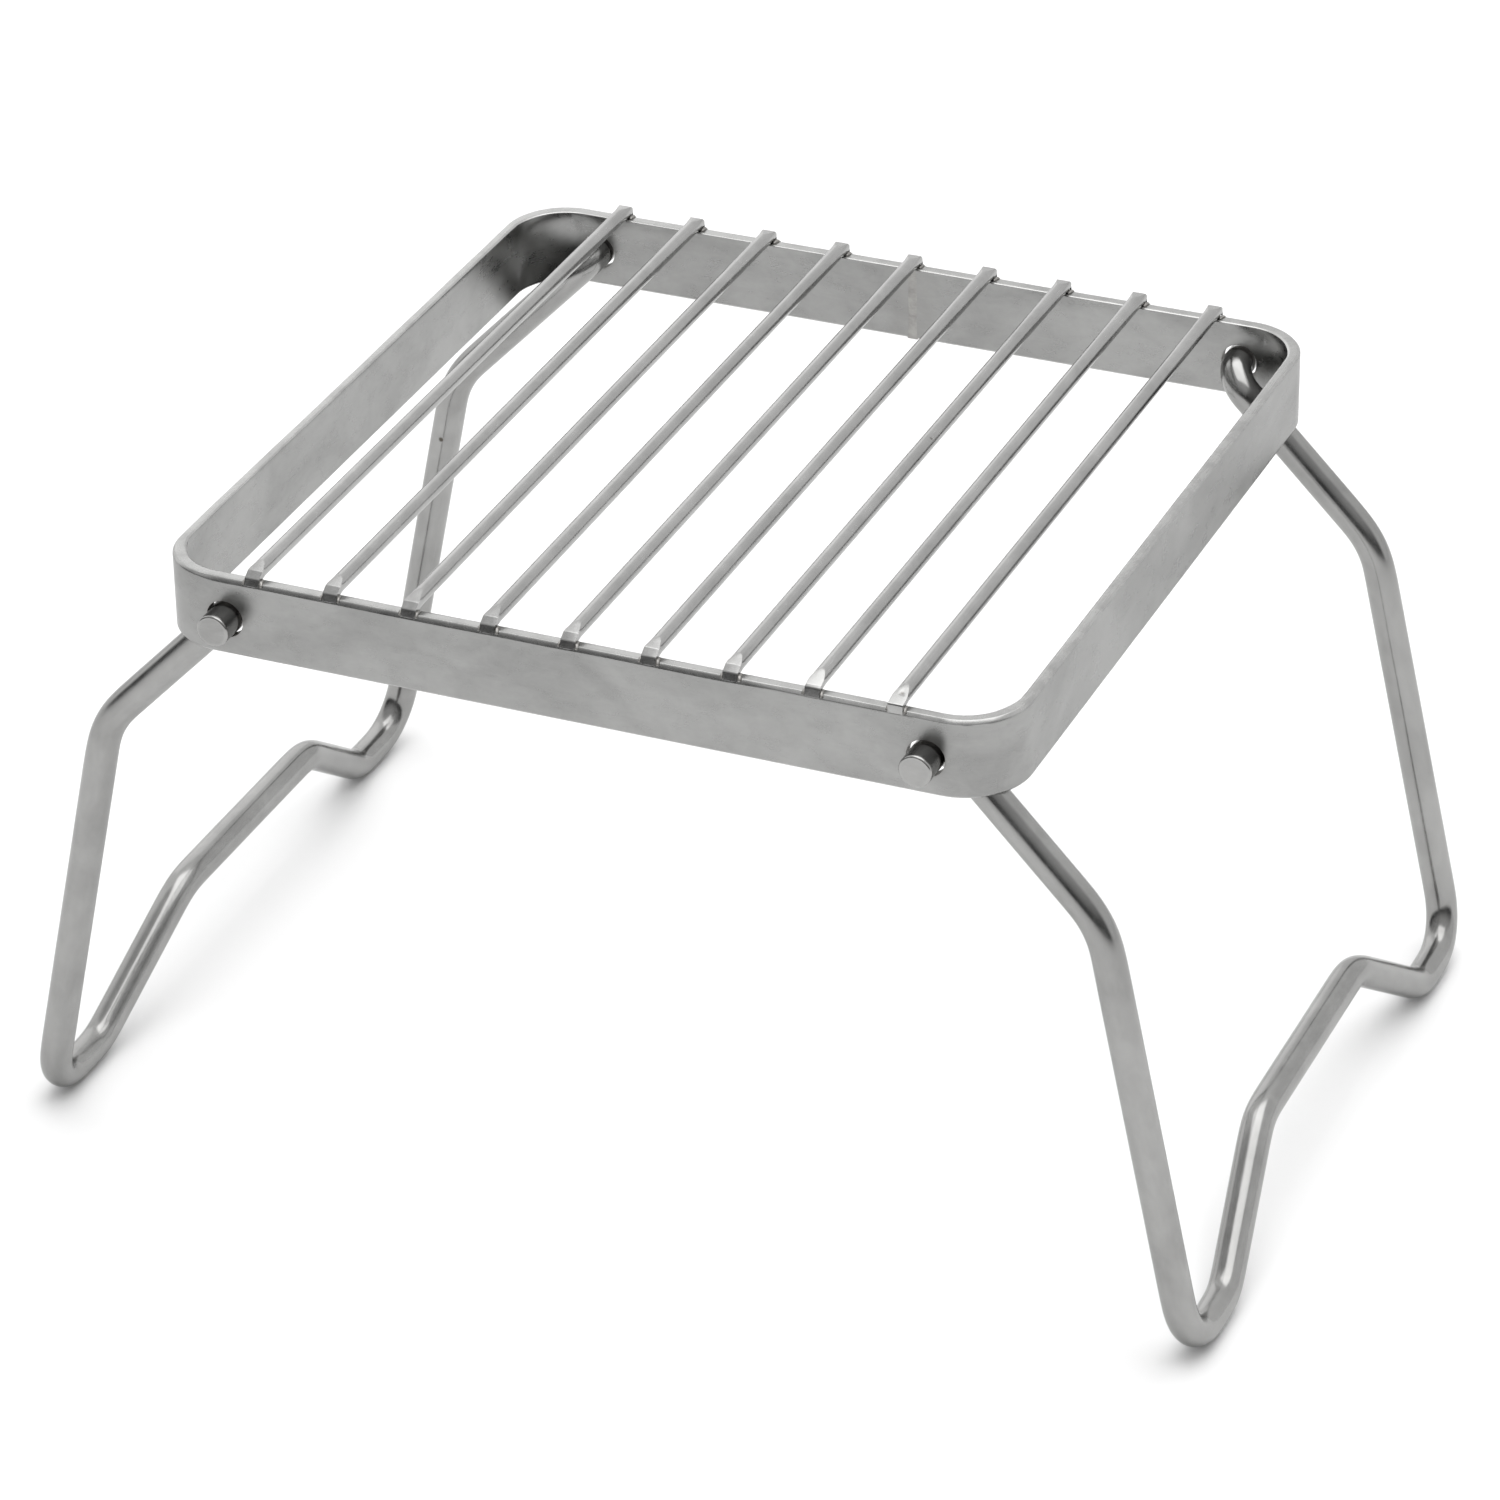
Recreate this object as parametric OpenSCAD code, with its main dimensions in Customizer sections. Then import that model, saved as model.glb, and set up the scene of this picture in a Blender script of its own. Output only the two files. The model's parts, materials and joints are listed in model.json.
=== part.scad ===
// Folding camp grill: a square hoop of flat bar with a grate of round bars on top,
// standing on two bent-wire legs that turn on their own ends.
// Millimetres. +X to the right, +Y to the rear, +Z up.
// The origin is on the ground, under the middle of the grate.

/* [Frame] */
// Outside length of each side of the square hoop
frame_side = 160; // [150:1:180]
// Height of the flat bar that the hoop is bent from
strip_h = 15; // [14:0.5:18]
// Thickness of the flat bar
strip_t = 2; // [1.5:0.1:2.2]
// Outside radius of the hoop's corners
corner_r = 12; // [10:0.5:12.5]
// Chamfer along the flat bar's long edges
edge_chamfer = 0.5; // [0.2:0.05:0.6]
// Width of the butt weld in the middle of the rear wall
seam_w = 1.6; // [1:0.1:3]
// How far the weld stands proud of the wall on each face
seam_proud = 0.12; // [0.05:0.01:0.3]

/* [Grate] */
// Height of the cooking surface above the ground
grate_top = 126; // [120:1:150]
// Number of grate bars
bar_count = 9; // [5:1:13]
// Distance between the first and the last bar
bar_span = 120; // [90:1:120]
// Diameter of the grate bars
bar_d = 2.8; // [2.5:0.1:3.2]
// How far each bar is pressed down where it is welded to the hoop
bar_set = 0.3; // [0.1:0.05:0.5]
// Length of the sloping flat pressed into the top of each bar's ends
flat_len = 5; // [3:0.5:8]
// Depth of that flat where it meets the nose
flat_depth = 0.7; // [0.1:0.05:0.8]
// Length of the slanted nose at each end of the bars
nose_len = 1.4; // [0.6:0.1:2]
// Height of the nose
nose_drop = 1; // [0.2:0.05:1.1]
// How far the end face leans back between the hoop's edge and the nose
nose_lean = 0.3; // [0:0.05:0.5]
// Width of the weld metal squeezed out beside each bar
flash_w = 0.7; // [0.4:0.1:1.2]
// Height of the weld metal
flash_h = 0.55; // [0.3:0.05:0.8]

/* [Legs] */
// Diameter of the leg wire
wire_d = 6; // [5:0.1:6]
// Gap between a pin and its hole, all round
hole_play = 0.5; // [0.3:0.1:0.8]
// Distance from the hoop's side to the pin's axis
pivot_inset = 14.5; // [14.5:0.5:16]
// Distance from the hoop's top edge down to the pin's axis
pivot_drop = 8; // [7.5:0.5:8]
// How far the pins stand out of the hoop
pin_out = 5; // [3:0.5:8]
// Distance from the hoop's inner face to the middle of the arm, at the pin
arm_gap = 5.6; // [5.6:0.1:7]
// How much wider apart the arms are at the feet than at the pins
leg_splay = 3.2; // [0:0.1:3.2]
// Length of the upper arm, from the pin's axis to the knee's corner
arm_len = 42; // [38:1:46]
// Angle of the upper arm below the horizontal
arm_slope = 46; // [46:0.5:52]
// Distance outward from the pin's axis to the middle of the foot
foot_out = 46.5; // [42:0.5:52]
// Length of the flat foot, between the corners at its two ends
foot_len = 19; // [18:0.5:24]
// Length along Y of the slope between the foot and the raised rail
slope_len = 28.5; // [25:0.5:32]
// How far the middle rail is raised, measured along the lower arm
rail_rise = 19.5; // [12:0.5:22]

/* [Wire bends, radius at the middle of the wire] */
// Bend between the pin and the upper arm
pin_bend_r = 5; // [4:0.1:5]
// Bend at the knee
knee_bend_r = 18; // [12:1:24]
// Bend between the lower arm and the foot
foot_bend_r = 9; // [7:0.5:10]
// Bend at the foot's inner end
low_kink_r = 7; // [5:0.5:10]
// Bend at the end of the raised rail
high_kink_r = 11; // [6:0.5:16]

/* [Hidden] */
BARS = [for (i = [1:bar_count]) str("grate_bar_", i)];

half = frame_side / 2;
half_in = half - strip_t;
corner_c = half - corner_r;              // centre of each rounded corner, in X and in Y
band_top = grate_top - bar_d + bar_set;  // height of the hoop's top edge
band_low = band_top - strip_h;
bar_axis_z = band_top + bar_d / 2 - bar_set;
bar_pitch = bar_span / (bar_count - 1);

pivot_x = half - pivot_inset;
pivot_z = band_top - pivot_drop;
hole_d = wire_d + 2 * hole_play;
mark_proud = 0.01;
mark_len = 0.3;
foot_z = wire_d / 2 + mark_proud;

// Corners of half of a right-hand leg, from the rear pin's end to the middle of the rail
arm_y = half_in - arm_gap;
foot_y = arm_y + leg_splay / 2;
knee_x = pivot_x + arm_len * cos(arm_slope);
knee_z = pivot_z - arm_len * sin(arm_slope);
foot_x = pivot_x + foot_out;
shin_len = norm([knee_x - foot_x, knee_z - foot_z]);
knee_y = arm_y + (foot_y - arm_y) * arm_len / (arm_len + shin_len);
up_shin = [knee_x - foot_x, 0, knee_z - foot_z] / shin_len;
foot_end_y = foot_y - foot_len;
rail_y = foot_end_y - slope_len;
rail_corner = [foot_x, rail_y, foot_z] + rail_rise * up_shin;
HALF_LEG = [
    [pivot_x, half + pin_out, pivot_z],
    [pivot_x, arm_y, pivot_z],
    [knee_x, knee_y, knee_z],
    [foot_x, foot_y, foot_z],
    [foot_x, foot_end_y, foot_z],
    rail_corner];
HALF_RADII = [0, pin_bend_r, knee_bend_r, foot_bend_r, low_kink_r, high_kink_r];

function front(p) = [p.x, -p.y, p.z];
function backwards(list) = [for (i = [len(list) - 1:-1:0]) list[i]];
LEG_CORNERS = concat(HALF_LEG, [for (p = backwards(HALF_LEG)) front(p)]);
LEG_RADII = concat(HALF_RADII, backwards(HALF_RADII));

// ---- round rod, bent at each corner of a path ----

function direction(a, b) = (b - a) / norm(b - a);
function turn_at(path, i) =
    acos(direction(path[i - 1], path[i]) * direction(path[i], path[i + 1]));
// How much of each straight a bend of radius r takes up at corner i
function bend_reach(path, radii, i) =
    radii[i] == 0 ? 0 : radii[i] * tan(turn_at(path, i) / 2);

module straight(a, b, d) {
    v = b - a;
    translate(a)
        rotate([0, acos(v.z / norm(v)), atan2(v.y, v.x)])
            cylinder(d = d, h = norm(v), $fn = 48);
}

// A thin mark left by the bending die, which also makes one body of a bend and its straight
module die_mark(p, v, d) {
    straight(p - v * mark_len / 2, p + v * mark_len / 2, d + 2 * mark_proud);
}

module bend(path, radii, i, d) {
    along = direction(path[i - 1], path[i]);
    after = direction(path[i], path[i + 1]);
    axis = cross(along, after) / norm(cross(along, after));
    inward = cross(axis, along);
    start = path[i] - bend_reach(path, radii, i) * along;
    end = path[i] + bend_reach(path, radii, i) * after;
    centre = start + radii[i] * inward;
    multmatrix([
        [-inward.x, along.x, axis.x, centre.x],
        [-inward.y, along.y, axis.y, centre.y],
        [-inward.z, along.z, axis.z, centre.z],
        [0, 0, 0, 1]])
        rotate_extrude(angle = turn_at(path, i), $fn = 96)
            translate([radii[i], 0]) circle(d = d, $fn = 48);
    die_mark(start, along, d);
    die_mark(end, after, d);
}

module bent_rod(path, radii, d) {
    last = len(path) - 1;
    for (i = [0:last - 1]) {
        v = direction(path[i], path[i + 1]);
        straight(
            path[i] + bend_reach(path, radii, i) * v,
            path[i + 1] - bend_reach(path, radii, i + 1) * v, d);
    }
    for (i = [1:last - 1]) bend(path, radii, i, d);
}

// ---- hoop ----

// The flat bar's section, with its outer face at x = out and its foot at y = 0
module strip_section(out) {
    c = edge_chamfer;
    inner = out - strip_t;
    polygon([
        [inner + c, 0], [out - c, 0], [out, c], [out, strip_h - c],
        [out - c, strip_h], [inner + c, strip_h], [inner, strip_h - c], [inner, c]]);
}

module side_wall(length) {
    translate([0, length / 2, 0])
        rotate([90, 0, 0])
            linear_extrude(height = length) strip_section(half);
}

module corner_wall() {
    translate([corner_c, corner_c, 0])
        rotate_extrude(angle = 90, $fn = 96) strip_section(corner_r);
}

module pin_holes() {
    for (x = [-pivot_x, pivot_x])
        translate([x, half + 1, pivot_z])
            rotate([90, 0, 0])
                cylinder(d = hole_d, h = frame_side + 2, $fn = 64);
}

module frame_band() {
    color([0.65, 0.65, 0.64])
        difference() {
            translate([0, 0, band_low]) {
                for (a = [0:90:270])
                    rotate([0, 0, a]) {
                        side_wall(2 * corner_c);
                        corner_wall();
                    }
            }
            pin_holes();
            translate([-seam_w / 2, half_in - 1, band_low - 1])
                cube([seam_w, strip_t + 2, strip_h + 2]);
        }
}

module band_seam_weld() {
    color([0.6, 0.59, 0.57])
        translate([-seam_w / 2, half_in - seam_proud, band_low])
            cube([seam_w, strip_t + 2 * seam_proud, strip_h]);
}

// ---- grate ----

function bar_x(i) = (i - (bar_count - 1) / 2) * bar_pitch;

// What is pressed and ground off one end of a bar: the flat and the nose on top, the seat below
module bar_end_press() {
    top = bar_axis_z + bar_d / 2;
    nose_top = top - flat_depth;
    nose_low = nose_top - nose_drop;
    translate([-bar_d, 0, 0])
        rotate([90, 0, 90])
            linear_extrude(height = 2 * bar_d)
                polygon([
                    [half - flat_len, top], [half - nose_len, nose_top],
                    [half - nose_lean, nose_low], [half, band_top],
                    [half + bar_d, band_top], [half + bar_d, top + bar_d],
                    [half - flat_len, top + bar_d]]);
    translate([-bar_d, half_in, band_top - bar_d])
        cube([2 * bar_d, strip_t, bar_d]);
}

module grate_bar(i) {
    color([0.7, 0.7, 0.69])
        translate([bar_x(i), 0, 0])
            difference() {
                translate([0, half, bar_axis_z])
                    rotate([90, 0, 0])
                        cylinder(d = bar_d, h = frame_side, $fn = 48);
                bar_end_press();
                mirror([0, 1, 0]) bar_end_press();
            }
}

// Weld metal in the corner between a bar and the hoop's top edge, on both sides of each bar
module weld_flash(i) {
    seat = sqrt(pow(bar_d / 2, 2) - pow(bar_d / 2 - bar_set, 2));
    length = strip_t - 2 * edge_chamfer;
    translate([bar_x(i), half - edge_chamfer, band_top])
        rotate([90, 0, 0])
            linear_extrude(height = length)
                difference() {
                    polygon([
                        [-seat - flash_w, 0], [seat + flash_w, 0],
                        [seat + flash_w * 0.7, flash_h * 0.7], [seat + flash_w * 0.3, flash_h],
                        [-seat - flash_w * 0.3, flash_h], [-seat - flash_w * 0.7, flash_h * 0.7]]);
                    translate([0, bar_d / 2 - bar_set]) circle(d = bar_d, $fn = 48);
                }
}

module bar_welds_rear() {
    color([0.55, 0.53, 0.5])
        for (i = [0:bar_count - 1]) weld_flash(i);
}

module bar_welds_front() {
    mirror([0, 1, 0]) bar_welds_rear();
}

// ---- legs ----

module right_leg() {
    color([0.6, 0.6, 0.59])
        bent_rod(LEG_CORNERS, LEG_RADII, wire_d);
}

module left_leg() {
    mirror([1, 0, 0]) right_leg();
}

frame_band();
band_seam_weld();
for (i = [0:bar_count - 1])
    grate_bar(i);
bar_welds_front();
bar_welds_rear();
left_leg();
right_leg();
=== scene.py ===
import json
import math
import random
from collections import namedtuple

import bmesh
import bpy
from mathutils import Matrix, Vector, noise


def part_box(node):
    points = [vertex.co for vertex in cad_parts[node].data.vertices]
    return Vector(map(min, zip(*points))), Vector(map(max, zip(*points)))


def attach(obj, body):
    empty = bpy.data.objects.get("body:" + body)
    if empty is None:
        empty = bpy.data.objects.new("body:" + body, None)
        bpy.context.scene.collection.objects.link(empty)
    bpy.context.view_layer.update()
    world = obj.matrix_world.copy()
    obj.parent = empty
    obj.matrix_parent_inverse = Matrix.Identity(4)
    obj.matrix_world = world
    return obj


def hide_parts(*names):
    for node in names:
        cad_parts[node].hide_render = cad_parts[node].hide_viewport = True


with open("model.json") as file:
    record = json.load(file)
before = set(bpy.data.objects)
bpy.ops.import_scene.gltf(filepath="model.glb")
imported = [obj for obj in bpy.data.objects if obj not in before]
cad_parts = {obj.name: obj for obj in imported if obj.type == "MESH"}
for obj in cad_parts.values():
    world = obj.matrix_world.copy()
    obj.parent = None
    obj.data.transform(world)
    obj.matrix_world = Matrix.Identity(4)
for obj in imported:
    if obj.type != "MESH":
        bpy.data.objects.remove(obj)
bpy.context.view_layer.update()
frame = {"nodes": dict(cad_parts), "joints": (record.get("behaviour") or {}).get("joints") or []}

random.seed(7)

MM = 0.001
TINY = 1e-6

# ---- what the frame says ----

band_lo, band_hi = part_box("frame_band")
HALF = band_hi.x
BAND_LOW, BAND_TOP = band_lo.z, band_hi.z
STRIP_H = BAND_TOP - BAND_LOW
PIVOTS = {joint["child"]: Vector(joint["pos_m"]) for joint in frame["joints"]}
PIVOT_X, PIVOT_Z = PIVOTS["right_leg"].x, PIVOTS["right_leg"].z
BAR_NODES = sorted(name for name in frame["nodes"] if name.startswith("grate_bar_"))

# ---- the CAD's driving values that a box doesn't give ----

STRIP_T = 2 * MM
CORNER_R = 12 * MM
SEAM_W = 1.6 * MM
HOLE_R = 3.5 * MM
BAR_R = 1.4 * MM
WIRE_R = 3 * MM
PIN_OUT = 5 * MM                 # how far a pin stands out of the hoop
ARM_GAP = 5.6 * MM               # from the hoop's inner face to the middle of an arm
LEG_SPLAY = 3.2 * MM             # how much wider a leg is at its feet than at its arms
ARM_LEN = 42 * MM
ARM_SLOPE = math.radians(46)
FOOT_OUT = 46.5 * MM             # from the pivot to the foot, sideways
FOOT_LEN = 19 * MM
FOOT_Z = WIRE_R + 0.01 * MM
SLOPE_LEN = 28.5 * MM            # from the end of a foot to the raised rail
RAIL_RISE = 19.5 * MM            # the rail's height over the feet, along the shin
BEND_RADII = [0, 5 * MM, 18 * MM, 9 * MM, 7 * MM, 11 * MM]


# ---- number helpers ----

def lerp(a, b, t):
    return a + (b - a) * t


def smooth(t):
    t = max(0.0, min(1.0, t))
    return t * t * (3 - 2 * t)


def rise(value, start, over):
    """0 up to start, then smoothly up to 1 over a distance."""
    return smooth((value - start) / over)


def fall(value, end, over):
    """1 until a distance before end, then smoothly down to 0 there."""
    return smooth((end - value) / over)


def wobble(x, y, seed):
    """Smooth noise in -1..1, the same at each run."""
    return noise.noise(Vector((x, y, seed * 13.37)))


# ---- mesh helper ----

class Build:
    """A piece's mesh in the making. Each point also has what the steel reads: its place in the straight
    stock, its edge wear and its shade, which is painted shade and, on and by the welds, their stain and tone."""

    def __init__(self):
        self.points, self.faces = [], []
        self.stock, self.wear, self.shade = [], [], []

    def add(self, point, stock, wear=0.0, shade=0.0):
        self.points.append(tuple(point))
        self.stock.append(tuple(stock))
        self.wear.append(wear)
        self.shade.append(shade)
        return len(self.points) - 1

    def join(self, ring_a, ring_b):
        """Quads between two closed rings of as many points."""
        count = len(ring_a)
        for i in range(count):
            k = (i + 1) % count
            self.faces.append((ring_a[i], ring_a[k], ring_b[k], ring_b[i]))

    def tube(self, rings, capped):
        for ring, following in zip(rings, rings[1:]):
            self.join(ring, following)
        if capped:
            self.faces.append(tuple(rings[0]))
            self.faces.append(tuple(reversed(rings[-1])))

    def finish(self, name, body, material, node, sharp=32.0):
        """The piece as an object that rides on a body and stands for a CAD node."""
        mesh = bpy.data.meshes.new(name)
        mesh.from_pydata(self.points, [], self.faces)
        bm = bmesh.new()
        bm.from_mesh(mesh)
        bmesh.ops.recalc_face_normals(bm, faces=bm.faces)
        bm.to_mesh(mesh)
        bm.free()
        for label, values in (("edge_wear", self.wear), ("shade", self.shade)):
            layer = mesh.attributes.new(label, "FLOAT", "POINT")
            layer.data.foreach_set("value", values)
        layer = mesh.attributes.new("stock", "FLOAT_VECTOR", "POINT")
        layer.data.foreach_set("vector", [value for place in self.stock for value in place])
        mesh.shade_smooth()
        mesh.set_sharp_from_angle(angle=math.radians(sharp))
        piece = bpy.data.objects.new(name, mesh)
        bpy.context.scene.collection.objects.link(piece)
        mesh.materials.append(material)
        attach(piece, body)
        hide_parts(node)


# ---- materials ----

class Nodes:
    """Short ways to fill one node tree."""

    def __init__(self, tree):
        self.tree = tree
        tree.nodes.clear()

    def add(self, kind, inputs=None, **settings):
        """A node with its settings. Each input is a value, or another node's output to link."""
        made = self.tree.nodes.new(kind)
        for key, value in settings.items():
            setattr(made, key, value)
        for key, value in (inputs or {}).items():
            if isinstance(value, bpy.types.NodeSocket):
                self.tree.links.new(value, made.inputs[key])
            else:
                made.inputs[key].default_value = value
        return made

    def math(self, operation, a, b, clamp=False):
        return self.add("ShaderNodeMath", {0: a, 1: b}, operation=operation, use_clamp=clamp).outputs[0]

    def plus(self, a, b, clamp=False):
        return self.math("ADD", a, b, clamp)

    def times(self, a, b, clamp=False):
        return self.math("MULTIPLY", a, b, clamp)

    def swing(self, value, amount):
        """A 0..1 value moved to swing round zero."""
        return self.times(self.math("SUBTRACT", value, 0.5), amount)

    def remap(self, value, from_min, from_max, to_min, to_max):
        inputs = {"Value": value, "From Min": from_min, "From Max": from_max,
                  "To Min": to_min, "To Max": to_max}
        return self.add("ShaderNodeMapRange", inputs).outputs["Result"]

    def noise(self, vector, scale, detail, roughness, distortion=0.0, turn=(0, 0, 0)):
        """Fractal noise, scaled separately along and across the stock."""
        inputs = {"Vector": vector, "Scale": scale, "Rotation": turn}
        mapped = self.add("ShaderNodeMapping", inputs).outputs["Vector"]
        inputs = {"Vector": mapped, "Scale": 1.0, "Detail": detail, "Roughness": roughness,
                  "Distortion": distortion}
        return self.add("ShaderNodeTexNoise", inputs).outputs["Fac"]

    def blend(self, factor, a, b):
        """Colour a where the factor is 0, colour b where it is 1."""
        inputs = {"Factor": factor, "A": a, "B": b}
        return self.add("ShaderNodeMix", inputs, data_type="RGBA").outputs["Result"]

    def attribute(self, name, output="Fac"):
        return self.add("ShaderNodeAttribute", attribute_name=name).outputs[output]


# painted shade: the near-black brown that the shade attribute darkens the steel towards, in the holes' bores,
# low on the bars' ends over the hoop, round the pins in the hoop and inside the legs' bends; it also gives the
# seam's heat stain, the weld metal's darker tone and one bar's pit
STAIN_AND_SHADE_COLOUR = (0.115, 0.098, 0.078, 1)
PIT_FLOOR = (0.10, 0.092, 0.08, 1)
EDGE_SHEEN = (0.84, 0.84, 0.84, 1)   # keeps the steel from whitening at grazing angles
WORN_LIFT = 1.28                     # how much lighter rubbed edges are than the lightest steel
SCUFF_TURN = (0.3, 0.5, 0.9)


def pit_marks(nodes, stock, per_mm):
    """1 in the few small round pits, 0 elsewhere."""
    inputs = {"Vector": stock, "Scale": per_mm, "Randomness": 1.0}
    cells = nodes.add("ShaderNodeTexVoronoi", inputs, feature="F1")
    near = nodes.remap(cells.outputs["Distance"], 0.030, 0.055, 1.0, 0.0)
    pick = nodes.add("ShaderNodeSeparateColor", {0: cells.outputs["Color"]})
    return nodes.times(near, nodes.math("GREATER_THAN", pick.outputs[0], 0.80))


def steel(name, low, high, rough, lines, line_size, cloud, pits=0.0, lumps=0.0, tint=(1.0, 1.0, 1.0)):
    """Satin steel: cloudy tone, mottling, lengthwise grain, fine scratches, pits, worn edges, weld stains and
    painted shade.

    low and high bound the tone, rough the roughness. lines is the grain's strength and line_size its lines'
    width and length in mm. cloud is the size of the clouds and of the mottling, per mm.
    """
    def tinted(value):
        return (*[value * t for t in tint], 1)

    mat = bpy.data.materials.new(name)
    mat.use_nodes = True
    nodes = Nodes(mat.node_tree)
    inputs = {0: nodes.attribute("stock", "Vector"), "Scale": 1 / MM}
    stock = nodes.add("ShaderNodeVectorMath", inputs, operation="SCALE").outputs[0]
    worn, stain_and_shade = nodes.attribute("edge_wear"), nodes.attribute("shade")

    width, length = line_size
    big, small = cloud
    clouds = nodes.noise(stock, (big, big * 1.6, big * 1.6), 4.0, 0.55, 0.6)
    mottle = nodes.noise(stock, (small, small * 1.7, small * 1.7), 5.0, 0.62, 0.3)
    grain = nodes.noise(stock, (1 / length, 1 / width, 1 / width), 3.0, 0.6)
    hair = nodes.noise(stock, (0.35 / length, 0.28 / width, 0.28 / width), 2.0, 0.5)
    scuffs = nodes.remap(nodes.noise(stock, (0.16, 3.4, 3.4), 3.0, 0.6, turn=SCUFF_TURN), 0.62, 0.74, 0.0, 1.0)

    # tone: 0 is the darker steel, 1 the lighter
    tone = nodes.plus(nodes.remap(clouds, 0.36, 0.64, 0.0, 0.6), nodes.remap(mottle, 0.34, 0.66, 0.0, 0.4))
    tone = nodes.plus(tone, nodes.swing(grain, lines * 0.7))
    tone = nodes.plus(tone, nodes.swing(hair, lines * 0.5))
    tone = nodes.plus(tone, nodes.times(scuffs, 0.14), clamp=True)
    colour = nodes.blend(tone, tinted(low), tinted(high))
    ragged = nodes.times(worn, nodes.remap(mottle, 0.25, 0.6, 0.35, 1.0))
    colour = nodes.blend(ragged, colour, tinted(high * WORN_LIFT))
    # painted shade: the steel darkens where the shade attribute is set, which is also the seam's heat stain
    # and the weld metal's darker tone
    stain_and_shade_mask = nodes.times(stain_and_shade, nodes.remap(mottle, 0.2, 0.75, 0.55, 1.0), clamp=True)
    colour = nodes.blend(stain_and_shade_mask, colour, STAIN_AND_SHADE_COLOUR)

    shine = nodes.plus(nodes.remap(mottle, 0.3, 0.7, *rough), nodes.swing(grain, 0.10))
    shine = nodes.plus(shine, nodes.times(stain_and_shade, 0.18))
    shine = nodes.math("SUBTRACT", shine, nodes.times(worn, 0.05), clamp=True)

    height = nodes.plus(nodes.times(clouds, 0.010), nodes.times(mottle, 0.0042))
    height = nodes.plus(height, nodes.times(grain, 0.00075 * (0.5 + lines)))
    height = nodes.math("SUBTRACT", height, nodes.times(scuffs, 0.0009))
    if pits:
        marks = pit_marks(nodes, stock, pits)
        colour = nodes.blend(marks, colour, PIT_FLOOR)
        height = nodes.math("SUBTRACT", height, nodes.times(marks, 0.06))
    if lumps:
        height = nodes.plus(height, nodes.times(nodes.noise(stock, (1.6, 1.6, 1.6), 3.0, 0.6), lumps))
    relief = nodes.add("ShaderNodeBump", {"Strength": 1.0, "Distance": MM, "Height": height})
    inputs = {"Base Color": colour, "Metallic": 1.0, "Roughness": shine, "Specular Tint": EDGE_SHEEN,
              "Normal": relief.outputs["Normal"]}
    shader = nodes.add("ShaderNodeBsdfPrincipled", inputs)
    nodes.add("ShaderNodeOutputMaterial", {"Surface": shader.outputs[0]})
    return mat


BAND_STEEL = steel("band_satin_steel", 0.27, 0.375, (0.25, 0.35), lines=0.22, line_size=(0.16, 7.0),
                   cloud=(0.045, 0.20), pits=0.085, tint=(1.0, 1.0, 0.985))
BAR_STEEL = steel("bar_drawn_steel", 0.34, 0.43, (0.20, 0.27), lines=0.5, line_size=(0.12, 14.0),
                  cloud=(0.05, 0.30), pits=0.10, tint=(1.0, 0.998, 0.985))
LEG_STEEL = steel("leg_drawn_steel", 0.28, 0.37, (0.17, 0.25), lines=0.35, line_size=(0.18, 12.0),
                  cloud=(0.05, 0.22), pits=0.09, tint=(1.0, 0.997, 0.98))
WELD_STEEL = steel("weld_steel", 0.26, 0.42, (0.26, 0.42), lines=0.1, line_size=(0.3, 1.2),
                   cloud=(0.3, 0.9), lumps=0.05, tint=(1.0, 0.985, 0.955))


# ---- the hoop: one strip, bent into a rounded square ----

FLAT = HALF - CORNER_R   # half of a wall's straight stretch
STRAIGHT = 2 * FLAT
ARC = math.pi / 2 * CORNER_R
AROUND = 4 * (STRAIGHT + ARC)

Wall = namedtuple("Wall", "start origin along outward length")


def straight_walls():
    """The strip's straight stretches, from the seam in the rear wall round to the seam again."""
    found = []
    start, origin = 0.0, Vector((0, HALF, 0))
    along, outward = Vector((1, 0, 0)), Vector((0, 1, 0))
    for length in (FLAT, STRAIGHT, STRAIGHT, STRAIGHT, FLAT):
        found.append(Wall(start, origin, along, outward, length))
        start += length + ARC
        origin = origin + along * length + (along - outward) * CORNER_R
        along, outward = -outward, along
    return found


WALLS = straight_walls()
FRONT = WALLS[2].start   # where the front wall's straight stretch starts, at its right end
HOLES = [PIVOT_X, FRONT + FLAT - PIVOT_X, FRONT + FLAT + PIVOT_X, AROUND - PIVOT_X]
HOLE_Z = PIVOT_Z - BAND_LOW

# (depth, distance from the edge) in mm round one bevel, from the side face to the edge face
BEVEL = [(0.0, 0.62), (0.035, 0.50), (0.10, 0.40), (0.40, 0.10), (0.50, 0.035), (0.62, 0.0)]
# The same along the front's top edge: ground steeply with the bars' ends, then flatter at the right
STEEP_BEVEL = [(0.0, 0.92), (0.02, 0.86), (0.30, 0.19), (0.34, 0.13), (0.47, 0.03), (0.53, 0.0)]
FLAT_BEVEL = [(0.0, 0.62), (0.05, 0.54), (0.11, 0.46), (0.50, 0.06), (0.56, 0.02), (0.62, 0.0)]
BEVEL_WEAR = [0.05, 0.55, 0.95, 0.9, 0.75, 0.7]
INNER_DEPTH, INNER_DROP = 0.75, 0.38   # the inner top bevel's size against BEVEL's
LOW_WEAR = 0.6                         # the lower bevels' wear against the upper ones'
TOP_WEAR, UNDER_WEAR = 0.7, 0.1

FLAT_ROWS = 12                   # rows of faces up each side of the strip
ROW_MARGIN = 1.0 * MM            # the lowest and highest rows' distance from the strip's edges
WALL_STEP = 3 * MM
BEND_CUTS = 22
PATCH, PATCH_CUTS = 5.5 * MM, 12   # half of the square round a hole, and the cuts across it
PATCH_CLEAR = 0.35 * MM          # no other cut comes nearer to a patch than this
LEAST_STEP = 0.15 * MM

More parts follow.
